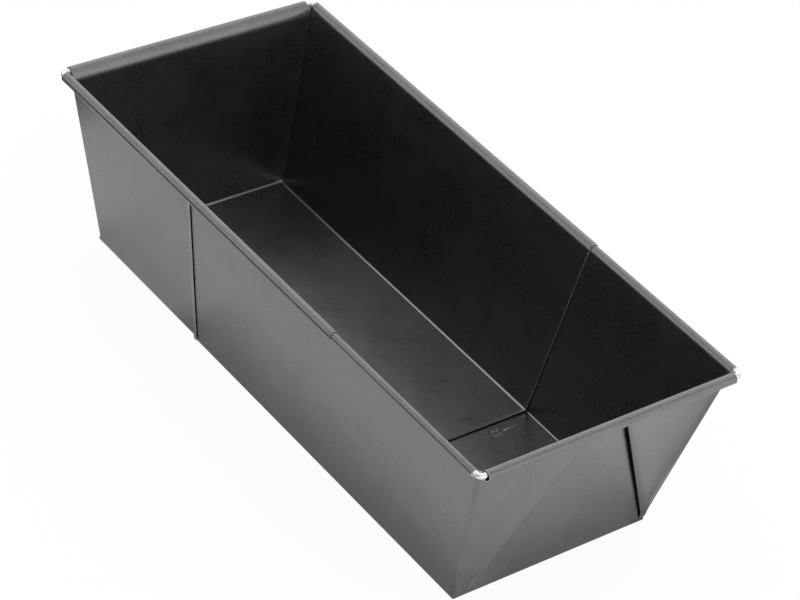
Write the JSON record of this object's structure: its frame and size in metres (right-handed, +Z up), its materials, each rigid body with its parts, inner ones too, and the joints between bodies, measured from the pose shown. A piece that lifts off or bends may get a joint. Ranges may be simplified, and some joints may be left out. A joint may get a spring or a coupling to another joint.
{
  "type": "adjustable loaf pan",
  "caption": "Open loaf pan of dark coated sheet steel in nesting halves that slide to set its length, with sloping walls, folded corners and rims rolled round bent wire.",
  "frame": {"origin": "on the table, under the middle of the pan at the length shown in the picture", "axes": "+X along the pan to the end wall of the front half, +Y across it, +Z up out of its mouth"},
  "size_m": [0.254, 0.1162, 0.0735],
  "materials": {
    "coated_sheet": "dark grey satin non-stick coating",
    "plated_wire": "bright plated steel wire"
  },
  "bodies": {
    "front_half": {"front_half_shell": "coated_sheet", "front_rim_wire": "plated_wire"},
    "rear_half": {"rear_half_shell": "coated_sheet", "rear_rim_wire": "plated_wire"}
  },
  "joints": [
    {"name": "length_slide", "type": "slide", "parent": "front_half", "child": "rear_half", "axis": [-1, 0, 0], "range_m": [-0.05, 0.06]}
  ]
}
